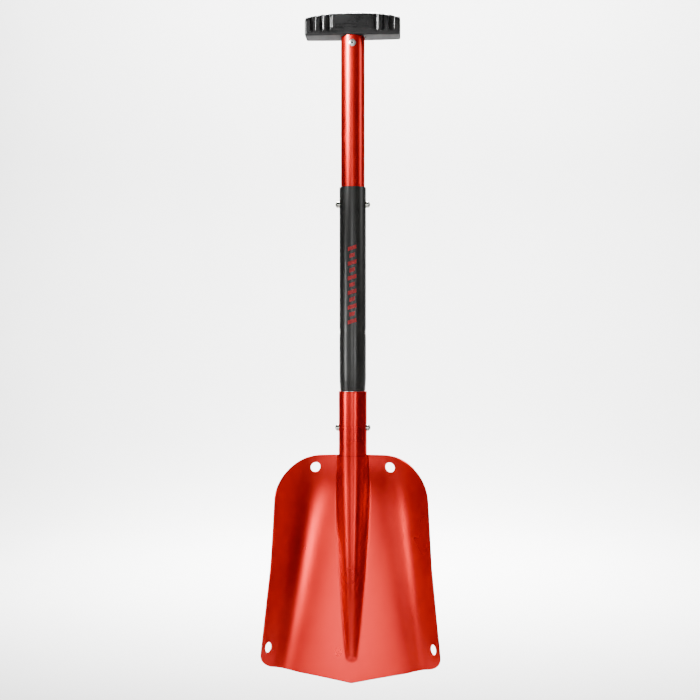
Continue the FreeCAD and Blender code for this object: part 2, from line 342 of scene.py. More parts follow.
def bareTubeFinish():
    paint = Finish("millTube", metallic=1.0)
    lines = paint.noise(140.0, stretch=(7, 7, 0.1), detail=4.0)
    rubAndRimShade = paint.noise(50.0, stretch=(1, 1, 0.2), detail=3.0)
    base = paint.colours(rubAndRimShade, (0.3, (0.50, 0.50, 0.51)), (0.7, (0.68, 0.68, 0.69)))
    rough = paint.maths("ADD", paint.spread(rubAndRimShade, 0.26, 0.40), paint.spread(lines, -0.05, 0.05))
    return paint.wear(base=base, roughness=rough, normal=paint.bump(lines, 0.00004, 0.6))


def steelFinish(name, dark, bright, smooth, scale=900.0):
    paint = Finish(name, metallic=1.0)
    scuffs = paint.noise(scale, stretch=(1, 1.6, 1.6), detail=4.0)
    haze = paint.noise(scale / 5, detail=2.0)
    base = paint.colours(haze, (0.3, dark), (0.7, bright))
    rough = paint.maths("ADD", paint.spread(haze, smooth, smooth + 0.12), paint.spread(scuffs, -0.03, 0.05))
    return paint.wear(base=base, roughness=rough, normal=paint.bump(scuffs, 0.00002, 0.5))


def printFinish():
    paint = Finish("redPrint", specular=0.4)
    ink = paint.noise(700.0, detail=3.0)
    base = paint.colours(ink, (0.35, (0.34, 0.010, 0.014)), (0.65, (0.46, 0.016, 0.020)))
    rough = paint.spread(ink, 0.42, 0.55)
    return paint.wear(base=base, roughness=rough, normal=paint.bump(ink, 0.00001, 0.5))


finishes = {
    "blade": redBladeFinish(),
    "tube": redTubeFinish(),
    "grip": gripFinish(),
    "sleeve": sleeveFinish(),
    "bare": bareTubeFinish(),
    "button": steelFinish("buttonSteel", (0.34, 0.33, 0.30), (0.46, 0.45, 0.41), 0.14),
    "spring": steelFinish("springSteel", (0.20, 0.21, 0.23), (0.34, 0.35, 0.38), 0.30),
    "rivet": steelFinish("rivetAluminium", (0.80, 0.80, 0.79), (0.93, 0.93, 0.92), 0.30, 1200.0),
    # painted shade: the mandrel stubs are near black, standing in for the shade down in the rivets' hollow
    # heads
    "mandrel": steelFinish("mandrelSteelPaintedShade", (0.02, 0.02, 0.02), (0.05, 0.05, 0.05), 0.5),
    "print": printFinish(),
}
print("materials mixed:", len(finishes))


def dress(piece, finish):
    piece.data.materials.clear()
    piece.data.materials.append(finishes[finish])
    return piece


class Field:
    # a value in a geometry tree that adds and multiplies like a number
    def __init__(self, tree, socket):
        self.tree = tree
        self.socket = socket


def arithmetic(operation, swapped):
    def apply(self, other):
        return maths(self.tree, operation, *((other, self) if swapped else (self, other)))
    return apply


for word, operation in (("add", "ADD"), ("sub", "SUBTRACT"), ("mul", "MULTIPLY"),
                        ("truediv", "DIVIDE"), ("pow", "POWER")):
    setattr(Field, "__%s__" % word, arithmetic(operation, False))
    setattr(Field, "__r%s__" % word, arithmetic(operation, True))


def maths(tree, operation, *values):
    node = addNode(tree, "ShaderNodeMath", *enumerate(values))
    node.operation = operation
    return Field(tree, node.outputs[0])


def plug(tree, socket, value):
    if isinstance(value, Field):
        tree.links.new(value.socket, socket)
    elif isinstance(value, bpy.types.NodeSocket):
        tree.links.new(value, socket)
    else:
        socket.default_value = value


def root(value):
    return maths(value.tree, "SQRT", value)


def clamped(value, low, high):
    return maths(value.tree, "MINIMUM", maths(value.tree, "MAXIMUM", value, low), high)


def startTree(name, sizes):
    # a tree with one named input for each size, and its geometry input
    tree = bpy.data.node_groups.new(name, "GeometryNodeTree")
    tree.interface.new_socket("Geometry", in_out="INPUT", socket_type="NodeSocketGeometry")
    tree.interface.new_socket("Geometry", in_out="OUTPUT", socket_type="NodeSocketGeometry")
    for label, value in sizes.items():
        kind = "NodeSocketInt" if isinstance(value, int) else "NodeSocketFloat"
        tree.interface.new_socket(label, in_out="INPUT", socket_type=kind)
    enter = tree.nodes.new("NodeGroupInput")
    fields = {label: Field(tree, enter.outputs[label]) for label in sizes}
    return tree, enter.outputs["Geometry"], fields


def addNode(tree, kind, *inputs):
    # each input is a pair: the socket's name or number, and what goes into it
    node = tree.nodes.new(kind)
    for key, value in inputs:
        plug(tree, node.inputs[key], value)
    return node


def endTree(tree, geometry, finish):
    real = addNode(tree, "GeometryNodeRealizeInstances", ("Geometry", geometry))
    paint = addNode(tree, "GeometryNodeSetMaterial", ("Geometry", real.outputs["Geometry"]),
                    ("Material", finishes[finish]))
    addNode(tree, "NodeGroupOutput", ("Geometry", paint.outputs["Geometry"]))


def runTree(piece, tree, sizes):
    # each input is set by its socket's identifier, then the result is made plain
    grown = piece.modifiers.new(tree.name, "NODES")
    grown.node_group = tree
    for item in tree.interface.items_tree:
        if item.in_out == "INPUT" and item.name in sizes:
            grown[item.identifier] = sizes[item.name]
    return settle(piece)


def moveTo(tree, geometry, position):
    node = addNode(tree, "GeometryNodeSetPosition", ("Geometry", geometry), ("Position", position))
    return node.outputs["Geometry"]


def pointParts(tree):
    position = addNode(tree, "GeometryNodeInputPosition").outputs[0]
    return [Field(tree, part) for part in addNode(tree, "ShaderNodeSeparateXYZ", (0, position)).outputs]


def pointOf(tree, x, y, z):
    return addNode(tree, "ShaderNodeCombineXYZ", *enumerate((x, y, z))).outputs[0]


bladeCut = {
    "top": -0.198,
    # the right half's corners: across, down from the top, corner radius
    "corners": [(0.0873, 0.0, 0.053), (0.0944, 0.128, 0.2), (0.1054, 0.2408, 0.017),
                (0.064, 0.253, 0.12), (0.0, 0.2656, 0.012)],
    "sheet": 0.002,
    "fineReach": 0.026,
    "fineStep": 0.0009,
    "broadStep": 0.0017,
    "rows": 182,
    "leastColumn": 0.004,
    "arcSteps": 40,
    "holeZone": 1.3,
    "holeRings": 3,
    "ringGrowth": 1.2,
    "rimReach": 0.010,
    "rimStep": 0.0005,
    "insetStart": 0.05,
    "insetFade": 0.025,
    "seamHeight": 0.0006,
    "seamHalf": 0.0172,
    "edgeRound": 0.00035,
}

bladePress = {
    "Blade Top": bladeCut["top"],
    "Top Lift": 0.0051,
    "Floor Rise": 0.2,
    "Top Curl": 0.012,
    "Curl Length": 0.03,
    "Wing Start": 0.0635,
    "Wing Spread": 0.02,
    "Wing Flare": 0.31,
    "Wing Slope": 1.3,
    "Wing Softness": 0.010,
    "Softness Loss": 0.016,
    "Dish": 0.4,
    "Top Dish": 2.0,
    "Dish Settle": 0.06,
    "Ridge Length": 0.2335,
    "Crest Taper": 1.2,
    "Socket Radius": shaft["socketRadius"],
    "Nose Radius": 0.0045,
    "Ridge Lift": 0.0113,
    "Flank Slope": 2.0,
    "Top Flank": 2.0,
    "Nose Flank": 0.5,
    "Flank Settle": 0.035,
    "Foot Blend": 0.005,
}


def cornerArc(before, here, after, radius, steps):
    back = (before - here).normalized()
    ahead = (after - here).normalized()
    half = back.angle(ahead) / 2
    centre = here + (back + ahead).normalized() * (radius / math.sin(half))
    start = here + back * (radius / math.tan(half)) - centre
    turn = math.copysign(math.pi - 2 * half, start.x * ahead.y - start.y * ahead.x)
    return [centre + Matrix.Rotation(turn * k / steps, 2) @ start for k in range(steps + 1)]


def outlineSides():
    # half of the top edge, the right edge and half of the bottom edge, as (x, t) lines
    corners = [Vector(c[:2]) for c in bladeCut["corners"]]
    radii = [c[2] for c in bladeCut["corners"]]
    steps = bladeCut["arcSteps"]
    previous = [Vector((-corners[0].x, 0))] + corners[:-1]
    following = corners[1:] + [Vector((-corners[-2].x, corners[-2].y))]
    arcs = [cornerArc(a, b, c, r, steps) for a, b, c, r in zip(previous, corners, following, radii)]
    half = steps // 2
    top = [Vector((0, 0))] + arcs[0][:half + 1]
    side = arcs[0][half:] + arcs[1] + arcs[2][:half + 1]
    bottom = arcs[2][half:] + arcs[3] + arcs[4][:half + 1]
    return top, side, list(reversed(bottom))


def alongLine(line, shares):
    # points at the given shares of a line's length
    lengths = [0.0]
    for a, b in zip(line, line[1:]):
        lengths.append(lengths[-1] + (b - a).length)
    found, n = [], 0
    for share in shares:
        target = share * lengths[-1]
        while n < len(line) - 2 and lengths[n + 1] < target:
            n += 1
        step = max(lengths[n + 1] - lengths[n], 1e-12)
        found.append(line[n].lerp(line[n + 1], min(max((target - lengths[n]) / step, 0), 1)))
    return found


def bladeBlank():
    # the flat sheet, gridded so that its rows and columns follow the outline
    top, side, bottom = outlineSides()
    span = sum((b - a).length for a, b in zip(top, top[1:]))
    columns, reach = [0.0], 0.0
    while reach < span:
        reach += bladeCut["fineStep"] if reach < bladeCut["fineReach"] else bladeCut["broadStep"]
        columns.append(min(reach / span, 1.0))
    if columns[-1] - columns[-2] < bladeCut["leastColumn"]:
        columns.pop(-2)
    rows = [j / bladeCut["rows"] for j in range(bladeCut["rows"] + 1)]
    topLine, bottomLine = alongLine(top, columns), alongLine(bottom, columns)
    sideLine = alongLine(side, rows)
    vertices = []
    for j, v in enumerate(rows):
        right = sideLine[j]
        line = []
        for i, s in enumerate(columns):
            u = (s + 1) / 2
            edge = topLine[i] * (1 - v) + bottomLine[i] * v
            rib = Vector((right.x * (2 * u - 1), right.y))
            flat = topLine[-1] * (1 - v) + bottomLine[-1] * v
            line.append(edge + rib - Vector((flat.x * (2 * u - 1), flat.y)))
        full = [Vector((-p.x, p.y)) for p in reversed(line[1:])] + line
        vertices += [Vector((p.x, 0, bladeCut["top"] - p.y)) for p in full]
    wide = 2 * len(columns) - 1
    faces = []
    for j in range(bladeCut["rows"]):
        for i in range(wide - 1):
            a = j * wide + i
            faces.append((a, a + wide, a + wide + 1, a + 1))
    return addPiece("bladeSheet", vertices, faces)


def punchHoles(piece):
    # each corner hole gets its own rings of points, round on the sloping sheet
    mesh = openMesh(piece)
    for name, mount in mounts.items():
        if not name.startswith("blade_hole"):
            continue
        normal = Vector(mount["axis"])
        radius = mount["dims"]["r_mm"] * millimetre
        centre = Vector(mount["pos_m"]) + normal * bladeCut["sheet"] / 2
        first = normal.cross(shaftAxis).normalized()
        second = normal.cross(first)
        spread = Matrix(((first.x, second.x), (first.z, second.z)))
        inward = spread.inverted()

        def onSheet(co):
            return inward @ Vector((co.x - centre.x, co.z - centre.z))

        def bearing(v):
            flat = onSheet(v.co)
            return math.atan2(flat.y, flat.x)

        near = bladeCut["holeZone"] * radius
        gone = [f for f in mesh.faces if any(onSheet(v.co).length < near for v in f.verts)]
        around = {v for f in gone for v in f.verts}
        bmesh.ops.delete(mesh, geom=gone, context="FACES")
        rim = sorted((v for v in around if v.is_valid), key=bearing)
        count = len(rim)
        gaps = [bearing(v) - 2 * math.pi * k / count for k, v in enumerate(rim)]
        drift = math.atan2(sum(map(math.sin, gaps)), sum(map(math.cos, gaps)))
        rings = [rim]
        for ring in range(bladeCut["holeRings"], -1, -1):
            share = (ring / (bladeCut["holeRings"] + 1)) ** bladeCut["ringGrowth"]
            line = []
            for k, v in enumerate(rim):
                angle = drift + 2 * math.pi * k / count
                lip = Vector((math.cos(angle), math.sin(angle))) * radius
                flat = spread @ lip.lerp(onSheet(v.co), share)
                line.append(mesh.verts.new((centre.x + flat.x, 0, centre.z + flat.y)))
            rings.append(line)
        for outer, inner in zip(rings, rings[1:]):
            for k in range(count):
                m = (k + 1) % count
                mesh.faces.new((outer[k], outer[m], inner[m], inner[k]))
    bmesh.ops.recalc_face_normals(mesh, faces=mesh.faces)
    mesh.normal_update()
    if sum(f.normal.y for f in mesh.faces) > 0:
        bmesh.ops.reverse_faces(mesh, faces=mesh.faces)
    return closeMesh(mesh, piece)


def outlineTree():
    # the outline's points, to find how far any point lies from the rim
    top, side, bottom = outlineSides()
    marks = []
    for line in (top, side, list(reversed(bottom))):
        length = sum((b - a).length for a, b in zip(line, line[1:]))
        steps = int(length / bladeCut["rimStep"])
        marks += alongLine(line, [k / steps for k in range(steps + 1)])
    marks += [Vector((-p.x, p.y)) for p in marks]
    tree = kdtree.KDTree(len(marks))
    for n, p in enumerate(marks):
        tree.insert((p.x, 0, bladeCut["top"] - p.y), n)
    tree.balance()
    return tree


def rimDistance(tree, co):
    return tree.find((co.x, 0, co.z))[2]


def bladeDepthTree():
    # presses the flat sheet: curled floor, raised wings, dish and the socket's ridge
    tree, sheet, give = startTree("pressBlade", bladePress)
    x, y, z = pointParts(tree)
    t = give["Blade Top"] - z
    width = maths(tree, "ABSOLUTE", x)

    def floorAt(down):
        curl = maths(tree, "ARCTANGENT", down / give["Curl Length"])
        return give["Top Lift"] - give["Floor Rise"] * down + give["Top Curl"] * curl

    bend = give["Wing Start"] + give["Wing Spread"] * t + give["Wing Flare"] * t * t
    soft = give["Wing Softness"] - give["Softness Loss"] * t
    past = width - bend
    wing = give["Wing Slope"] * 0.5 * (past + root(past * past + 4 * soft * soft))
    dish = (give["Dish"] + give["Top Dish"] / (1 + (t / give["Dish Settle"]) ** 2)) * width * width
    scoop = floorAt(t) - wing - dish

    nose = give["Ridge Length"]
    share = clamped(t / nose, 0, 1)
    taper = share ** give["Crest Taper"]
    crest = give["Socket Radius"] - (give["Socket Radius"] - give["Nose Radius"]) * taper
    steep = give["Top Flank"] / (1 + (t / give["Flank Settle"]) ** 2)
    slope = give["Flank Slope"] + steep - give["Nose Flank"] * share ** 4
    lift = 0 - give["Socket Radius"] - give["Ridge Lift"] * share * share * (3 - 2 * share)
    height = floorAt(clamped(t, 0, nose)) - lift
    past = maths(tree, "MAXIMUM", t - nose, 0)
    reach = root(width * width + past * past)
    lean = root(1 + slope * slope)
    turnAt = crest * slope / lean
    flank = crest * (1 - 1 / lean) + slope * (reach - turnAt)
    crown = crest - root(maths(tree, "MAXIMUM", crest * crest - reach * reach, 0))
    onCrown = maths(tree, "LESS_THAN", reach, turnAt)
    drop = onCrown * crown + (1 - onCrown) * flank
    ridge = floorAt(t) - height + drop

    blend = give["Foot Blend"]
    mix = clamped(0.5 + 0.5 * (scoop - ridge) / blend, 0, 1)
    depth = scoop + (ridge - scoop) * mix - blend * mix * (1 - mix)
    endTree(tree, moveTo(tree, sheet, pointOf(tree, x, depth, z)), "blade")
    return tree


def insetRim(piece, near):
    # draws the front of the rim in, so that the back edge keeps the outline
    mesh = openMesh(piece)
    mesh.normal_update()
    moves = []
    for v in mesh.verts:
        share = max(0.0, 1 - rimDistance(near, v.co) / bladeCut["rimReach"])
        wide = min(max((abs(v.co.x) - bladeCut["insetStart"]) / bladeCut["insetFade"], 0.0), 1.0)
        push = v.normal * bladeCut["sheet"] * share
        moves.append(Vector((v.co.x + push.x * wide, 0, v.co.z + push.z)))
    for v, co in zip(mesh.verts, moves):
        v.co = co
    return closeMesh(mesh, piece)


def thicken(piece, thickness):
    # a second skin behind the first, joined round the rim and in the holes
    mesh = openMesh(piece)
    mesh.normal_update()
    front = list(mesh.faces)
    rim = [(e, e.link_loops[0]) for e in mesh.edges if e.is_boundary]
    back = {v: mesh.verts.new(v.co - v.normal * thickness) for v in list(mesh.verts)}
    for e, loop in rim:
        a, b = loop.vert, loop.link_loop_next.vert
        mesh.faces.new((b, a, back[a], back[b]))
    for f in front:
        mesh.faces.new([back[v] for v in reversed(f.verts)])
    mesh.normal_update()
    return closeMesh(mesh, piece)


def atSocket(edge):
    # the ridge's end, where the sheet runs into the socket without a step
    return all(abs(v.co.z - bladeCut["top"]) < bladeCut["seamHeight"]
               and abs(v.co.x) < bladeCut["seamHalf"] and v.co.y < 0.0 for v in edge.verts)


def markRimShade(piece, share):
    # tells the finish how near each point is to the rim, where painted shade darkens the colour
    rim = piece.data.attributes.new("rimShadeShare", "FLOAT", "POINT")
    for n, v in enumerate(piece.data.vertices):
        rim.data[n].value = max(0.0, share(v.co))


def makeBlade():
    sheet = punchHoles(bladeBlank())
    near = outlineTree()
    press = bladeDepthTree()
    runTree(sheet, press, bladePress)
    insetRim(sheet, near)
    runTree(sheet, press, bladePress)
    thicken(sheet, bladeCut["sheet"])
    softenEdges(sheet, bladeCut["edgeRound"], 2, 50, skip=atSocket)
    # painted shade along the outline: the last two millimetres of the sheet are darkened
    markRimShade(sheet, lambda co: 1 - rimDistance(near, co) / bladeCut["rimReach"])
    polish(sheet, 50)
    return dress(sheet, "blade")


bladeSheet = makeBlade()
print("blade pressed:", len(bladeSheet.data.polygons), "faces")

socketSizes = {
    "mouth": -0.1218,
    "tongueEnd": -0.238,
    "tongueStart": 0.0035,
    "mouthRound": 0.0007,
    "mouthFlare": 0.0002,
    "wedgeReach": 0.03,
    "wedgeSpare": 0.0005,
    "wedgeUnder": 0.001,
    "rimReach": 0.004,
    "edgeRound": 0.0003,
}


def makeSocket():
    outer, bore = shaft["socketRadius"], shaft["socketBore"]
    low, mouth = socketSizes["tongueEnd"], socketSizes["mouth"]
    lip = socketSizes["mouthRound"]
    button = shaft["lowerButton"]
    corners = [(bore, low, 0), (outer, low, 0), (outer, bladeCut["top"], 0)] + ringsNear([button], outer)
    corners += [(outer, mouth, lip), (bore + socketSizes["mouthFlare"], mouth, lip / 2)]
    corners += reversed([(bore, bladeCut["top"], 0)] + ringsNear([button], bore))
    socket = turned("socketTube", corners)
    # a wedge cuts the front away below the blade's top and leaves the tongue
    wide, under = socketSizes["wedgeReach"], low - socketSizes["wedgeUnder"]
    side = [(-wide, bladeCut["top"]), (socketSizes["tongueStart"], bladeCut["top"]),
            (outer + socketSizes["wedgeSpare"], under), (-wide, under)]
    vertices = [Vector((x, y, z)) for x in (-wide, wide) for y, z in side]
    faces = [(0, 1, 2, 3), (7, 6, 5, 4), (0, 4, 5, 1), (1, 5, 6, 2), (2, 6, 7, 3), (3, 7, 4, 0)]
    combine(socket, tidyShell(addPiece("wedge", vertices, faces)))
    drillAcross(socket, shaft["buttonHole"] + shaft["slip"], [button])

    def atBlade(edge):
        return all(abs(v.co.z - bladeCut["top"]) < 1e-5 and v.co.y < 0.003 for v in edge.verts)

    softenEdges(socket, socketSizes["edgeRound"], 2, 35, skip=atBlade)
    polish(socket)
    # painted shade: the finish darkens the colour within about a millimetre of the mouth, where the shaft
    # goes in
    markRimShade(socket, lambda co: 1 - abs(mouth - co.z) / socketSizes["rimReach"])
    return dress(socket, "blade")


socketTube = makeSocket()
print("socket joined to the ridge")

tubeSizes = {
    "sleeveTop": 0.1218,
    "sleeveEnd": -0.1214,
    "neckStart": -0.106,
    "neckEnd": -0.1185,
    "insertEnd": -0.1938,
    "tubeTop": 0.3018,
    "rivetHeight": 0.2922,
    "rivetHole": 0.00245,
    "neckRound": 0.004,
    "endRound": 0.0003,
    "insertRound": 0.0009,
    "mouthRound": 0.0004,
    "upperRound": 0.0005,
    "buttonToEnd": 0.04,
    "edgeRound": 0.00022,
}


def makeMidTube():
    outer, bore, neck = shaft["midRadius"], shaft["midBore"], shaft["neckRadius"]
    inner = neck - (outer - bore)
    top, low, bend = tubeSizes["sleeveTop"], tubeSizes["insertEnd"], tubeSizes["neckRound"]
    start, end = tubeSizes["neckStart"], tubeSizes["neckEnd"]
    holes = [shaft["upperButton"], shaft["shortButton"], shaft["lowerButton"]]
    corners = [(inner, low, tubeSizes["endRound"]), (neck, low, tubeSizes["insertRound"])]
    corners += ringsNear(holes[2:], neck) + [(neck, end, bend), (outer, start, bend)]
    corners += ringsNear(holes[1::-1], outer)
    corners += [(outer, top, tubeSizes["endRound"]), (bore, top, tubeSizes["mouthRound"])]
    corners += reversed(ringsNear(holes[1::-1], bore))
    corners += [(bore, start, bend), (inner, end, bend)]
    corners += reversed(ringsNear(holes[2:], inner))
    tube = turned("midTube", corners)
    drillAcross(tube, shaft["buttonHole"], holes)
    softenEdges(tube, tubeSizes["edgeRound"], 2)
    return dress(polish(tube), "bare")


sleeveSizes = {
    "slack": 0.00003,
    "hemWall": 0.0005,
    "hemSwell": 0.0006,
    "hemRise": 0.0014,
    "shoulderDip": 0.0001,
    "shoulderLow": 0.003,
    "shoulderHigh": 0.004,
    "buttonHole": 0.0047,
    "curves": {"neck": 0.003, "lining": 0.001, "hem": 0.00025, "swell": 0.002, "low": 0.006, "high": 0.01,
               "top": 0.0009},
    "edgeRound": 0.00015,
}


def makeSleeve():
    inner, outer, neck = shaft["midRadius"], shaft["sleeveRadius"], shaft["neckRadius"]
    start, end, low = tubeSizes["neckStart"], tubeSizes["neckEnd"], tubeSizes["sleeveEnd"]
    top, cut, curve = tubeSizes["sleeveTop"], sleeveSizes, sleeveSizes["curves"]
    holes = [shaft["shortButton"], shaft["upperButton"]]
    lining = neck + cut["slack"]
    corners = [(inner, start, curve["neck"]), (lining, end, curve["lining"]), (lining, low, 0),
               (neck + cut["hemWall"], low, curve["hem"]),
               (neck + cut["hemSwell"], low + cut["hemRise"], curve["swell"]),
               (outer - cut["shoulderDip"], start - cut["shoulderLow"], curve["low"]),
               (outer, start + cut["shoulderHigh"], curve["high"])]
    corners += ringsNear(holes, outer) + [(outer, top, curve["top"]), (inner, top, 0)]
    corners += reversed(ringsNear(holes, inner))
    sleeve = turned("gripSleeve", corners)
    drillAcross(sleeve, cut["buttonHole"], holes)
    softenEdges(sleeve, cut["edgeRound"], 2)
    return dress(polish(sleeve), "sleeve")


def makeUpperTube():
    outer = shaft["upperRadius"]
    bore = outer - shaft["upperWall"]
    button, rivet, end = shaft["upperButton"], tubeSizes["rivetHeight"], tubeSizes["endRound"]
    low, top = button - tubeSizes["buttonToEnd"], tubeSizes["tubeTop"]
    corners = [(bore, low, end), (outer, low, tubeSizes["upperRound"])] + ringsNear([button, rivet], outer)
    corners += [(outer, top, end), (bore, top, end)]
    corners += reversed(ringsNear([button, rivet], bore))
    tube = turned("upperTube", corners)
    drillAcross(tube, shaft["buttonHole"], [button])
    softenEdges(tube, tubeSizes["edgeRound"], 2)
    drillAcross(tube, tubeSizes["rivetHole"], [rivet], Vector((0, 1, 0)))
    return dress(polish(tube), "tube")


midTube = makeMidTube()
gripSleeve = makeSleeve()
upperTube = makeUpperTube()
print("tubes and sleeve turned")

# marks printed on the sleeve's front: a plain ladder of slanted bars
markSizes = {
    "Bars": 11,
    "Pitch": 0.0087,
    "Lowest": -0.0385,
    "Bar Width": 0.0104,
    "Bar Height": 0.0046,
    "Short Bar": 0.62,
    "Slant": 0.32,
    "Film": 0.00007,
    "Film Proud": 0.55,
    "Radius": shaft["sleeveRadius"],
}


def makeMark():
    tree, blank, give = startTree("printLadder", markSizes)
    barSize = pointOf(tree, give["Bar Width"], give["Film"], give["Bar Height"])
    bar = addNode(tree, "GeometryNodeMeshCube", ("Size", barSize),
                  ("Vertices X", 13), ("Vertices Y", 2), ("Vertices Z", 2))
    line = addNode(tree, "GeometryNodeMeshLine", ("Count", give["Bars"]),
                   ("Start Location", pointOf(tree, 0.0, 0.0, give["Lowest"])),
                   ("Offset", pointOf(tree, 0.0, 0.0, give["Pitch"])))
    index = Field(tree, addNode(tree, "GeometryNodeInputIndex").outputs[0])
    odd = maths(tree, "MODULO", index, 2.0)
    bars = addNode(tree, "GeometryNodeInstanceOnPoints", ("Points", line.outputs["Mesh"]),
                   ("Instance", bar.outputs["Mesh"]),
                   ("Scale", pointOf(tree, 1 - odd * (1 - give["Short Bar"]), 1.0, 1.0)))
    real = addNode(tree, "GeometryNodeRealizeInstances", ("Geometry", bars.outputs["Instances"]))
    x, y, z = pointParts(tree)
    angle = x / give["Radius"]
    radius = give["Radius"] + give["Film"] * give["Film Proud"] - y
    wrapped = pointOf(tree, radius * maths(tree, "SINE", angle),
                      (0 - radius) * maths(tree, "COSINE", angle), z + x * give["Slant"])
    endTree(tree, moveTo(tree, real.outputs["Geometry"], wrapped), "print")
    mark = runTree(addPiece("sleeveMark", [(0, 0, 0)], []), tree, markSizes)
    tidyShell(mark)
    return dress(mark, "print")


sleeveMark = makeMark()

buttonSizes = {
    "radius": 0.00395,
    "dome": 0.0024,
    "tail": 0.0020,
    "tailHead": 0.0029,
    "tailHeadHeight": 0.0008,
    "tailLength": 0.0019,
    "tailRound": 0.0003,
    "seatRound": 0.0002,
    "domeRound": 0.00025,
    "domeSteps": 8,
    "domeFall": 0.8,
    "boreSlack": 0.00015,
    "stripWidth": 0.008,
    "stripThickness": 0.0008,
    "stripBelow": 0.007,
    "stripRise": 0.046,
    "kneeLead": 0.002,
    "legSteps": 6,
    "apexSteps": 10,
    "apexRadius": 0.004,
    "travel": 0.007,
}


def stripFace(bore):
    # how far out the flat strip can lie in a round bore
    return math.sqrt((bore - buttonSizes["boreSlack"]) ** 2 - (buttonSizes["stripWidth"] / 2) ** 2)


def makeButton(place, side, bore, height):
    low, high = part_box("%s_button_%s" % (place, "left" if side < 0 else "right"))
    reach = max(abs(low.x), abs(high.x))
    cut, seat = buttonSizes, stripFace(bore)
    radius, dome, tail, head, steps = (cut[k] for k in ("radius", "dome", "tail", "tailHead", "domeSteps"))
    start = seat - cut["tailLength"]
    neck = start + cut["tailHeadHeight"]
    corners = [(0, start, 0), (head, start, cut["tailRound"]), (head, neck, 0), (tail, neck, 0),
               (tail, seat, 0), (radius, seat, cut["seatRound"]), (radius, reach - dome, cut["domeRound"])]
    ball = (radius ** 2 + dome ** 2) / (2 * dome)
    for k in range(1, steps):
        across = radius * (1 - k / steps) ** cut["domeFall"]
        corners.append((across, reach - ball + math.sqrt(ball ** 2 - across ** 2), 0))
    corners.append((0, reach, 0))
    name = place + ("Left" if side < 0 else "Right") + "Button"
    button = turned(name, corners, closed=False, about=Vector((side, 0, 0)), steps=56)
    button.data.transform(Matrix.Translation((0, 0, height)))
    return dress(polish(tidyShell(button), 45), "button")


def makeLeaf(place, side, bore, height):
    # one leg of the bent strip, from the shaft axis down to its button
    cut = buttonSizes
    thick, tip, below = cut["stripThickness"], cut["apexRadius"], cut["stripBelow"]
    out, apex, knee = stripFace(bore) - thick / 2, height + cut["stripRise"], height + below
    lean = math.atan2(out - tip, apex - knee)
    foot, lead = Vector((out, knee)), Vector((out, knee - cut["kneeLead"]))
    bend = Vector((tip * math.cos(lean), apex + tip * math.sin(lean)))
    path = [Vector((out, height - below)), Vector((out, height)), lead]
    path += [lead.lerp(foot, 0.6), foot.lerp(bend, 0.04)]
    path += [foot.lerp(bend, k / cut["legSteps"]) for k in range(1, cut["legSteps"])]
    angles = [lean + (math.pi / 2 - lean) * k / cut["apexSteps"] for k in range(cut["apexSteps"] + 1)]
    path += [Vector((tip * math.cos(a), apex + tip * math.sin(a))) for a in angles]
    half = cut["stripWidth"] / 2
    vertices = []
    for n, p in enumerate(path):
        along = (path[min(n + 1, len(path) - 1)] - path[max(n - 1, 0)]).normalized()
        if n == len(path) - 1:
            along = Vector((-1, 0))
        across = Vector((along.y, -along.x)) * thick / 2
        for sign, y in ((-1, -half), (1, -half), (1, half), (-1, half)):
            q = p + across * sign
            vertices.append(Vector((side * q.x, y, q.y)))
    faces = [(0, 1, 2, 3), tuple(len(vertices) - k for k in (1, 2, 3, 4))]
    for n in range(len(path) - 1):
        for k in range(4):
            m = (k + 1) % 4
            faces.append((n * 4 + k, n * 4 + m, n * 4 + 4 + m, n * 4 + 4 + k))
    leaf = tidyShell(addPiece(place + ("Left" if side < 0 else "Right") + "Leaf", vertices, faces))
    seat = Vector((side * out, 0, height))
    combine(leaf, rodAlong(Vector((1, 0, 0)), seat, cut["tail"] + shaft["slip"], 0.006, 40))
    dress(polish(leaf, 30), "spring")
    return leaf, (out - cut["travel"]) / out


rivetSizes = {
    "head": 0.0044,
    "proud": 0.0013,
    "under": 0.0009,
    "crown": 0.62,
    "crownDrop": 0.00035,
    "lip": 0.0009,
    "shank": 0.0024,
    "bore": 0.0012,
    "length": 0.009,
    "bulb": 0.0006,
    "snapDepth": 0.0002,
}


def setPair(part, finish, sharper):
    # the same fastener front and back: one copy is turned half round the shaft
    part.data.transform(Matrix.Translation((0, 0, tubeSizes["rivetHeight"])))
    turns = {"Turn": math.pi}
    tree, first, give = startTree(part.name + "Pair", turns)
    turn = addNode(tree, "GeometryNodeTransform", ("Geometry", first),
                   ("Rotation", pointOf(tree, 0.0, 0.0, give["Turn"])))
    both = addNode(tree, "GeometryNodeJoinGeometry", ("Geometry", first),
                   ("Geometry", turn.outputs["Geometry"]))
    endTree(tree, both.outputs["Geometry"], finish)
    return dress(polish(runTree(part, tree, turns), sharper), finish)


def makeRivets():
    head, shank, bore, lip = (rivetSizes[k] for k in ("head", "shank", "bore", "lip"))
    tube = shaft["upperRadius"]
    inner, under, top = tube - rivetSizes["length"], tube - rivetSizes["under"], tube + rivetSizes["proud"]
    corners = [(bore, inner, 0), (shank, inner, 0.0004), (shank, under, 0), (head, under, 0),
               (head, tube + 0.0001, 0.0003),
               (head * rivetSizes["crown"], top - rivetSizes["crownDrop"], 0.0008),
               (bore + lip, top, 0.0004), (bore, top, 0.00025)]
    rivets = turned("handleRivets", corners, about=Vector((0, -1, 0)), steps=64)
    for v in rivets.data.vertices:
        aside = math.hypot(v.co.x, v.co.z)
        if aside > shank + 0.0002 and abs(v.co.y) < tube - 0.0008:
            v.co.y = -math.sqrt(tube ** 2 - v.co.x ** 2) - 0.00001   # sits down on the round tube
    return setPair(rivets, "rivet", 50)


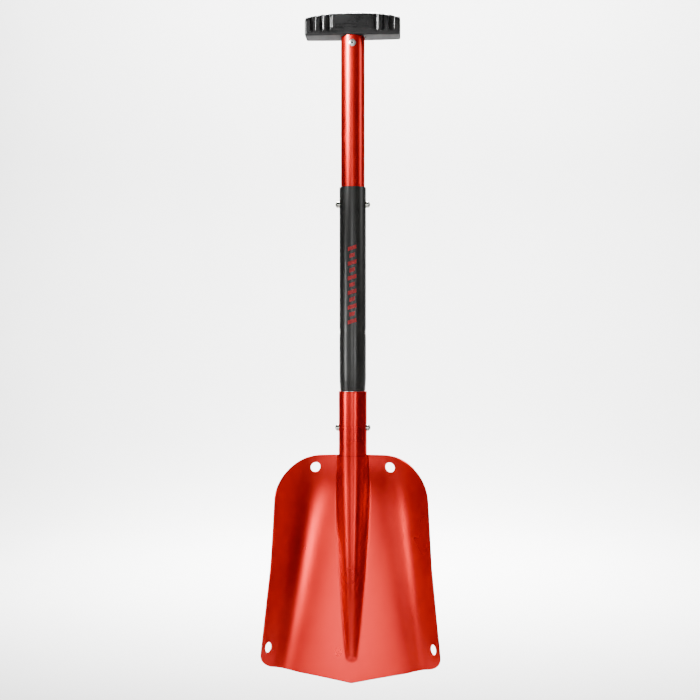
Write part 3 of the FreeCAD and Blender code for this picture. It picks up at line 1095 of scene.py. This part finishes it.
def makeMandrels():
    # the stem snaps off inside the head; its bulb holds the far end of the rivet
    stem, bulb = rivetSizes["bore"] - shaft["slip"], rivetSizes["shank"] - 0.0002
    inner = shaft["upperRadius"] - rivetSizes["length"]
    end, far = shaft["upperRadius"] - rivetSizes["snapDepth"], inner - 0.00002
    corners = [(0, inner - rivetSizes["bulb"], 0), (bulb * 0.7, inner - 0.0004, 0.0005), (bulb, far, 0.0002),
               (stem, far, 0), (stem, end - 0.0004, 0), (stem * 0.75, end, 0.0001),
               (stem * 0.4, end - 0.0002, 0.0002), (0, end - 0.0001, 0)]
    mandrels = turned("rivetMandrels", corners, closed=False, about=Vector((0, -1, 0)), steps=40)
    return setPair(mandrels, "mandrel", 45)


upperBore = shaft["upperRadius"] - shaft["upperWall"]
lowerBore = shaft["neckRadius"] - (shaft["midRadius"] - shaft["midBore"])
handleRivets = makeRivets()
rivetMandrels = makeMandrels()
print("rivets set")

gripSizes = {
    "bottom": 0.3018,
    "half": 0.057,
    "height": 0.0288,
    "endHeight": 0.0228,
    "depth": 0.030,
    "endDepth": 0.026,
    "corner": 0.008,
    "lowCorner": 0.0022,
    "tipRound": 0.0022,
    "stations": 200,
    "levelHeight": 0.0138,
    "flankSteps": 26,
    "restSteps": 10,
    "cornerSteps": 22,
    "lowSteps": 6,
    "flatSteps": 7,
    "edge": 0.0007,
    "panelHalf": 0.0242,
    "panelLow": 0.0062,
    "panelHigh": 0.0250,
    "panelProud": 0.0009,
    "panelCorner": 0.0026,
    # two lines across the panel: height and half length
    "grooves": [(0.0098, 0.0191), (0.0130, 0.0191)],
    "grooveWidth": 0.0009,
    "grooveDepth": 0.00045,
    "grooveCorner": 0.0002,
    "grooveEdge": 0.0006,
    "barAt": 0.0326,
    "barHalf": 0.0028,
    "barLow": 0.0048,
    "barHigh": 0.0245,
    "barProud": 0.0011,
    "barFade": 0.0022,
    "pocketCorner": 0.0022,
    # finger pockets: place across, half width, lowest, highest, depth
    "pockets": [(0.0276, 0.0012, 0.0056, 0.0250, 0.0020), (0.0371, 0.0012, 0.0052, 0.0262, 0.0030),
                (0.0466, 0.0035, 0.0052, 0.0264, 0.0036)],
    "plugRadius": 0.0129,
    "plugWall": 0.003,
    "plugLength": 0.032,
    "plugRound": 0.0006,
    "plugInside": 0.0004,
    "plugHollow": 0.004,
    "plugOverlap": 0.002,
    "tipSteps": 8,
    "tipShares": (0.75, 0.45, 0.15),
}


def stepUp(value, start, width):
    s = min(max((value - start) / width, 0.0), 1.0)
    return s * s * (3 - 2 * s)


def insideShape(x, z, halfWide, low, high, corner, edge):
    # 1 inside a rounded rectangle, 0 outside, with a soft edge
    middle, halfTall = (low + high) / 2, (high - low) / 2
    dx = max(abs(x) - halfWide + corner, 0.0)
    dz = max(abs(z - middle) - halfTall + corner, 0.0)
    inner = min(max(abs(x) - halfWide + corner, abs(z - middle) - halfTall + corner), 0.0)
    outside = math.hypot(dx, dz) + inner - corner
    return 1 - stepUp(outside, -edge / 2, edge)


def gripRelief(x, z, y, face):
    # how far out the front or back of the grip stands at x and height z
    cut, edge = gripSizes, gripSizes["edge"]
    for at, half, low, high, depth in cut["pockets"]:
        share = insideShape(abs(x) - at, z, half, low, high, min(half, cut["pocketCorner"]), edge)
        y += (min(y, face - depth) - y) * share
    aside = abs(abs(x) - cut["barAt"]) / cut["barHalf"]
    if aside < 1:
        ends = insideShape(0.0, z, 0.01, cut["barLow"], cut["barHigh"], 0.0, cut["barFade"])
        y += (max(y, face + cut["barProud"] * math.sqrt(1 - aside * aside)) - y) * ends
    panel = insideShape(x, z, cut["panelHalf"], cut["panelLow"],
                        cut["panelHigh"], cut["panelCorner"], edge)
    y += (face + cut["panelProud"] - y) * panel
    wide, corner, fade = cut["grooveWidth"], cut["grooveCorner"], cut["grooveEdge"]
    for height, half in cut["grooves"]:
        share = insideShape(x, z, half, height - wide / 2, height + wide / 2, corner, fade)
        y -= cut["grooveDepth"] * share
    return y


def gripRing(x, shrink):
    # one section of the grip, drawn in by "shrink" near its tips
    cut = gripSizes
    share = (x / cut["half"]) ** 2
    height = cut["height"] + (cut["endHeight"] - cut["height"]) * share
    face = (cut["depth"] + (cut["endDepth"] - cut["depth"]) * share) / 2
    top, low = cut["corner"], cut["lowCorner"]
    flat, flank = cut["flatSteps"], cut["flankSteps"]
    half = [((face - low) * k / flat, 0.0) for k in range(flat)]
    for k in range(cut["lowSteps"]):
        angle = math.pi / 2 * k / cut["lowSteps"]
        half.append((face - low * (1 - math.sin(angle)), low * (1 - math.cos(angle))))
    level, rest = cut["levelHeight"], cut["restSteps"]
    half += [(face, low + (level - low) * k / flank) for k in range(flank)]
    half += [(face, level + (height - top - level) * k / rest) for k in range(rest)]
    for k in range(cut["cornerSteps"]):
        angle = math.pi / 2 * k / cut["cornerSteps"]
        half.append((face - top * (1 - math.cos(angle)), height - top * (1 - math.sin(angle))))
    half += [((face - top) * (1 - k / flat), height) for k in range(flat + 1)]
    ring = []
    for y, z in half + [(-y, z) for y, z in reversed(half[1:-1])]:
        if abs(y) > face - top:
            y = math.copysign(gripRelief(x, z, abs(y), face), y)
        middle = height / 2
        ring.append(Vector((x, y * (1 - shrink / face),
                            cut["bottom"] + middle + (z - middle) * (1 - shrink / middle))))
    return ring


def makeGrip():
    cut = gripSizes
    half, tip = cut["half"], cut["tipRound"]
    count = cut["stations"]
    stations = [(-half + tip) + 2 * (half - tip) * k / count for k in range(count + 1)]
    angles = [math.pi / 2 * k / cut["tipSteps"] for k in range(1, cut["tipSteps"] + 1)]
    ends = [(half - tip + tip * math.sin(a), tip * (1 - math.cos(a))) for a in angles]
    sections = [(-x, shrink) for x, shrink in reversed(ends)] + [(x, 0.0) for x in stations] + ends
    rings = [gripRing(x, shrink) for x, shrink in sections]
    wide = len(rings[0])
    vertices = [v for ring in rings for v in ring]
    faces = []
    for n in range(len(rings) - 1):
        for k in range(wide):
            m = (k + 1) % wide
            faces.append((n * wide + k, n * wide + m, (n + 1) * wide + m, (n + 1) * wide + k))
    for n in (0, len(rings) - 1):      # each tip closes with shrinking copies of its last ring
        centre = sum(rings[n], Vector()) / wide
        last = list(range(n * wide, (n + 1) * wide))
        for share in cut["tipShares"]:
            start = len(vertices)
            vertices += [centre + (v - centre) * share for v in rings[n]]
            now = list(range(start, start + wide))
            faces += [(last[k], last[(k + 1) % wide], now[(k + 1) % wide], now[k]) for k in range(wide)]
            last = now
        vertices.append(centre)
        faces += [(last[k], last[(k + 1) % wide], len(vertices) - 1) for k in range(wide)]
    grip = tidyShell(addPiece("tGrip", vertices, faces))
    radius, bottom = cut["plugRadius"], cut["bottom"]
    low = bottom - cut["plugLength"]
    inner = radius - cut["plugWall"]
    roof, into = bottom - cut["plugHollow"], bottom + cut["plugOverlap"]
    plug = turned("plug", [(0, roof, 0), (inner, roof, 0), (inner, low, cut["plugInside"]),
                           (radius, low, cut["plugRound"]), (radius, into, 0), (0, into, 0)],
                  closed=False)
    combine(grip, plug, "UNION")
    drillAcross(grip, tubeSizes["rivetHole"], [tubeSizes["rivetHeight"]], Vector((0, 1, 0)))
    return dress(polish(grip, 50), "grip")


tGrip = makeGrip()
print("grip moulded:", len(tGrip.data.polygons), "faces")

for piece, body, nodes, slot in (
        (bladeSheet, "blade_part", ["blade"], "red_blade"),
        (socketTube, "blade_part", ["blade_socket"], "red_blade"),
        (midTube, "mid_shaft", ["mid_tube"], "bare_tube"),
        (gripSleeve, "mid_shaft", ["grip_sleeve"], "sleeve_black"),
        (sleeveMark, "mid_shaft", [], "red_tube"),
        (upperTube, "upper_shaft", ["upper_tube"], "red_tube"),
        (tGrip, "upper_shaft", ["t_grip"], "grip_plastic"),
        (handleRivets, "upper_shaft", ["handle_rivets"], "rivet_metal"),
        (rivetMandrels, "upper_shaft", ["rivet_mandrels"], "mandrel_steel")):
    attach(piece, body)
    if nodes:
        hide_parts(*nodes)

for place, bore, height, body in (("upper", upperBore, shaft["upperButton"], "upper_shaft"),
                                  ("lower", lowerBore, shaft["lowerButton"], "mid_shaft")):
    for side, word in ((-1, "left"), (1, "right")):
        button = makeButton(place, side, bore, height)
        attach(button, "%s_%s_button" % (place, word))
        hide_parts("%s_button_%s" % (place, word))
        leaf, keep = makeLeaf(place, side, bore, height)
        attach(leaf, body)
        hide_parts(place + "_spring")
        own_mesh(leaf)
print("buttons and springs fitted")

stageSizes = {"floor": -0.62, "radius": 3.4, "cove": 1.3, "coveSteps": 16, "wall": 2.6,
              "wallHalf": 44, "wallFade": 24, "steps": 96, "openFloor": 6.0}


def makeStage():
    # a pale floor; behind the object it sweeps up into a wall
    floor, radius, cove = stageSizes["floor"], stageSizes["radius"], stageSizes["cove"]
    steps, rounds = stageSizes["steps"], stageSizes["coveSteps"]
    half, fade = math.radians(stageSizes["wallHalf"]), math.radians(stageSizes["wallFade"])
    angles = [math.pi / 2 * k / rounds for k in range(1, rounds + 1)]
    bend = [(radius - cove + cove * math.sin(a), floor + cove * (1 - math.cos(a))) for a in angles]
    bend.append((radius, stageSizes["wall"]))
    vertices, count = [], len(bend) + 2
    for k in range(steps):
        angle = 2 * math.pi * k / steps
        rise = insideShape(angle - math.pi / 2, 0.0, half, -1.0, 1.0, 0.0, fade)
        for n, (r, z) in enumerate([(0.0, floor), (radius - cove, floor)] + bend):
            reach = r + (1 - rise) * (stageSizes["openFloor"] * n / count)
            height = floor + (z - floor) * rise
            vertices.append(Vector((reach * math.cos(angle), reach * math.sin(angle), height)))
    faces = [(k * count + n, (k + 1) % steps * count + n, (k + 1) % steps * count + n + 1, k * count + n + 1)
             for k in range(steps) for n in range(count - 1)]
    stage = addPiece("studioFloor", vertices, faces)
    stage.data.shade_smooth()
    paint = Finish("studioPaper", roughness=0.9, specular=0.15)
    tone = paint.noise(3.0, detail=2.0)
    stage.data.materials.append(paint.wear(base=paint.colours(
        tone, (0.3, (0.83, 0.83, 0.825)), (0.7, (0.85, 0.85, 0.845)))))


def softBox(name, place, target, size, power, spread):
    lamp = bpy.data.lights.new(name, "AREA")
    lamp.shape = "RECTANGLE"
    lamp.size, lamp.size_y = size
    lamp.energy = power
    lamp.spread = math.radians(spread)
    box = bpy.data.objects.new(name, lamp)
    bpy.context.scene.collection.objects.link(box)
    box.location = place
    box.rotation_mode = "QUATERNION"
    box.rotation_quaternion = (Vector(target) - Vector(place)).to_track_quat("-Z", "Y")
    box.visible_camera = False


makeStage()
softBox("keyBox", (-0.25, -2.6, 0.12), (0, 0, -0.2), (1.1, 0.75), 0.60, 50)
softBox("leftFill", (-1.4, -1.85, 0.0), (0, 0, -0.32), (1.3, 0.6), 0.36, 50)
softBox("centreStrip", (-0.12, -2.6, 0.22), (0, 0, 0.0), (0.12, 0.9), 0.34, 45)
softBox("sideFill", (2.2, -0.25, 0.75), (0, 0, 0.12), (0.7, 0.7), 0.42, 30)
softBox("rightStrip", (0.75, -1.83, -0.04), (-0.05, 0, -0.32), (0.16, 0.24), 0.24, 30)
softBox("leftStrip", (-1.7, -0.9, 0.0), (0.07, 0, -0.32), (0.12, 0.2), 0.5, 24)
softBox("barStrip", (-1.45, -1.3, 0.92), (0, 0, 0.33), (0.2, 0.22), 0.9, 10)
softBox("topBox", (0.0, 0.9, 1.5), (0, 0, 0.33), (0.6, 0.5), 6.0, 30)
softBox("wallBox", (0, 1.9, 2.7), (0, 3.3, 0.2), (2.6, 0.8), 260, 110)
softBox("floorBox", (0, 1.4, 2.2), (0, 1.4, -0.6), (1.2, 0.9), 95, 60)

world = bpy.data.worlds.new("studioAir")
world.use_nodes = True
air = world.node_tree.nodes["Background"]
air.inputs["Color"].default_value = (0.95, 0.97, 1.0, 1)
air.inputs["Strength"].default_value = 0.11
bpy.context.scene.world = world

cameraSetting = {"distance": 1.35, "azimuth": 3.5, "target": (-0.0034, 0.0, -0.0726), "lens": 57.9}
lens = bpy.data.cameras.new("studioCamera")
lens.lens = cameraSetting["lens"]
lens.sensor_width = 36.0
camera = bpy.data.objects.new("studioCamera", lens)
bpy.context.scene.collection.objects.link(camera)
turn = math.radians(cameraSetting["azimuth"])
back = Vector((math.sin(turn), -math.cos(turn), 0))
camera.location = Vector(cameraSetting["target"]) + back * cameraSetting["distance"]
camera.rotation_mode = "QUATERNION"
camera.rotation_quaternion = (-back).to_track_quat("-Z", "Y")
bpy.context.scene.camera = camera
print("stage, lights and camera ready")
